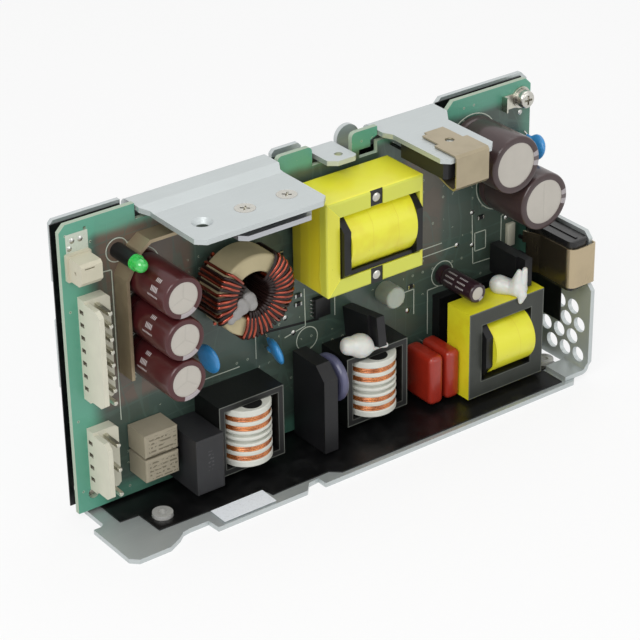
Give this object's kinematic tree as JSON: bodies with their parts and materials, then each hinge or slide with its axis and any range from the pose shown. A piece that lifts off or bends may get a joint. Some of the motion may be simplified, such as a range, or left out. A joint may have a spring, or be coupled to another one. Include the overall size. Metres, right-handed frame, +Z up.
{
  "type": "open frame power supply",
  "caption": "Open frame switching power supply: a component board on edge in a folded aluminium tray with top flanges, pin headers, a vented end and threaded mounting points.",
  "frame": {"origin": "centre of the footprint, on the ground under the floor flange", "axes": "+X along the board away from the pin headers, +Y from the component side to the back plate, +Z up"},
  "size_m": [0.1692, 0.0368, 0.0928],
  "materials": {
    "aluminium_sheet": "brushed, pale grey, bare sheet",
    "aluminium_bar": "sawn and tumbled bar",
    "black_film": "smooth black polyester film",
    "plated_steel": "bright zinc plating",
    "tinned_metal": "bright tin plating",
    "board_laminate": "green solder mask over copper areas",
    "black_epoxy": "moulded epoxy package",
    "nickel_spring": "tan nickel plated spring strip",
    "bronze_spring": "tan bronze spring strip",
    "black_rubber": "smooth silicone rubber",
    "ivory_nylon": "natural nylon",
    "black_plastic": "moulded black plastic",
    "green_lens": "tinted translucent lens",
    "brass_strip": "tinned copper strip, dull",
    "maroon_sleeve": "shrunk sleeve over an aluminium can",
    "brown_sleeve": "shrunk sleeve over an aluminium can",
    "dark_sleeve": "shrunk sleeve over an aluminium can",
    "grey_case": "moulded plastic case",
    "taupe_case": "moulded plastic case",
    "red_coating": "dipped epoxy coating",
    "blue_coating": "dipped epoxy coating",
    "slate_coating": "dipped coating",
    "white_nylon": "natural nylon",
    "white_silicone": "cured translucent silicone",
    "cream_coating": "powder coated ring",
    "copper_enamel": "enamelled copper wire",
    "copper_wire": "enamelled copper wire",
    "grey_adhesive": "cured adhesive",
    "yellow_tape": "polyester winding tape",
    "ferrite": "sintered ferrite, dark grey"
  },
  "bodies": {
    "root": {"chassis": "aluminium_sheet", "insulating_sheet": "black_film", "standoffs": "plated_steel", "circuit_board": "board_laminate", "ground_screw": "plated_steel", "spring_washer": "plated_steel", "flat_washer": "plated_steel", "ground_lug": "tinned_metal", "clinch_nuts": "plated_steel", "clamp_screws": "plated_steel", "clamp_plate": "aluminium_bar", "rectifiers": "black_epoxy", "power_switch": "black_epoxy", "spring_clip_top": "nickel_spring", "spring_clip_side": "bronze_spring", "side_device": "black_epoxy", "device_boot": "black_rubber", "output_header": "ivory_nylon", "output_pins": "tinned_metal", "mains_header": "ivory_nylon", "mains_pins": "tinned_metal", "signal_header": "ivory_nylon", "signal_plug": "ivory_nylon", "lamp_tube": "black_plastic", "lamp_lens": "green_lens", "bus_bar": "brass_strip", "output_capacitor_1": "maroon_sleeve", "output_capacitor_2": "maroon_sleeve", "output_capacitor_3": "maroon_sleeve", "bulk_capacitor_1": "brown_sleeve", "bulk_capacitor_2": "brown_sleeve", "small_capacitor": "dark_sleeve", "box_capacitor": "grey_case", "box_fuses": "taupe_case", "film_capacitors": "red_coating", "disc_capacitor_1": "blue_coating", "disc_capacitor_2": "blue_coating", "disc_capacitor_3": "blue_coating", "thermistor_disc": "slate_coating", "bridge_rectifier": "black_epoxy", "diode_package_1": "black_epoxy", "diode_package_2": "black_epoxy", "nylon_spacer": "white_nylon", "silicone_bead": "white_silicone", "toroid_core": "cream_coating", "toroid_winding": "copper_enamel", "toroid_adhesive": "grey_adhesive", "main_core": "yellow_tape", "main_bobbin": "black_plastic", "main_winding": "yellow_tape", "aux_core": "ferrite", "aux_bobbin": "black_plastic", "aux_winding": "yellow_tape", "aux_adhesive": "white_silicone", "choke_1_core": "ferrite", "choke_1_bobbin": "white_nylon", "choke_1_winding": "copper_wire", "choke_2_core": "ferrite", "choke_2_bobbin": "white_nylon", "choke_2_winding": "copper_wire"}
  },
  "joints": []
}
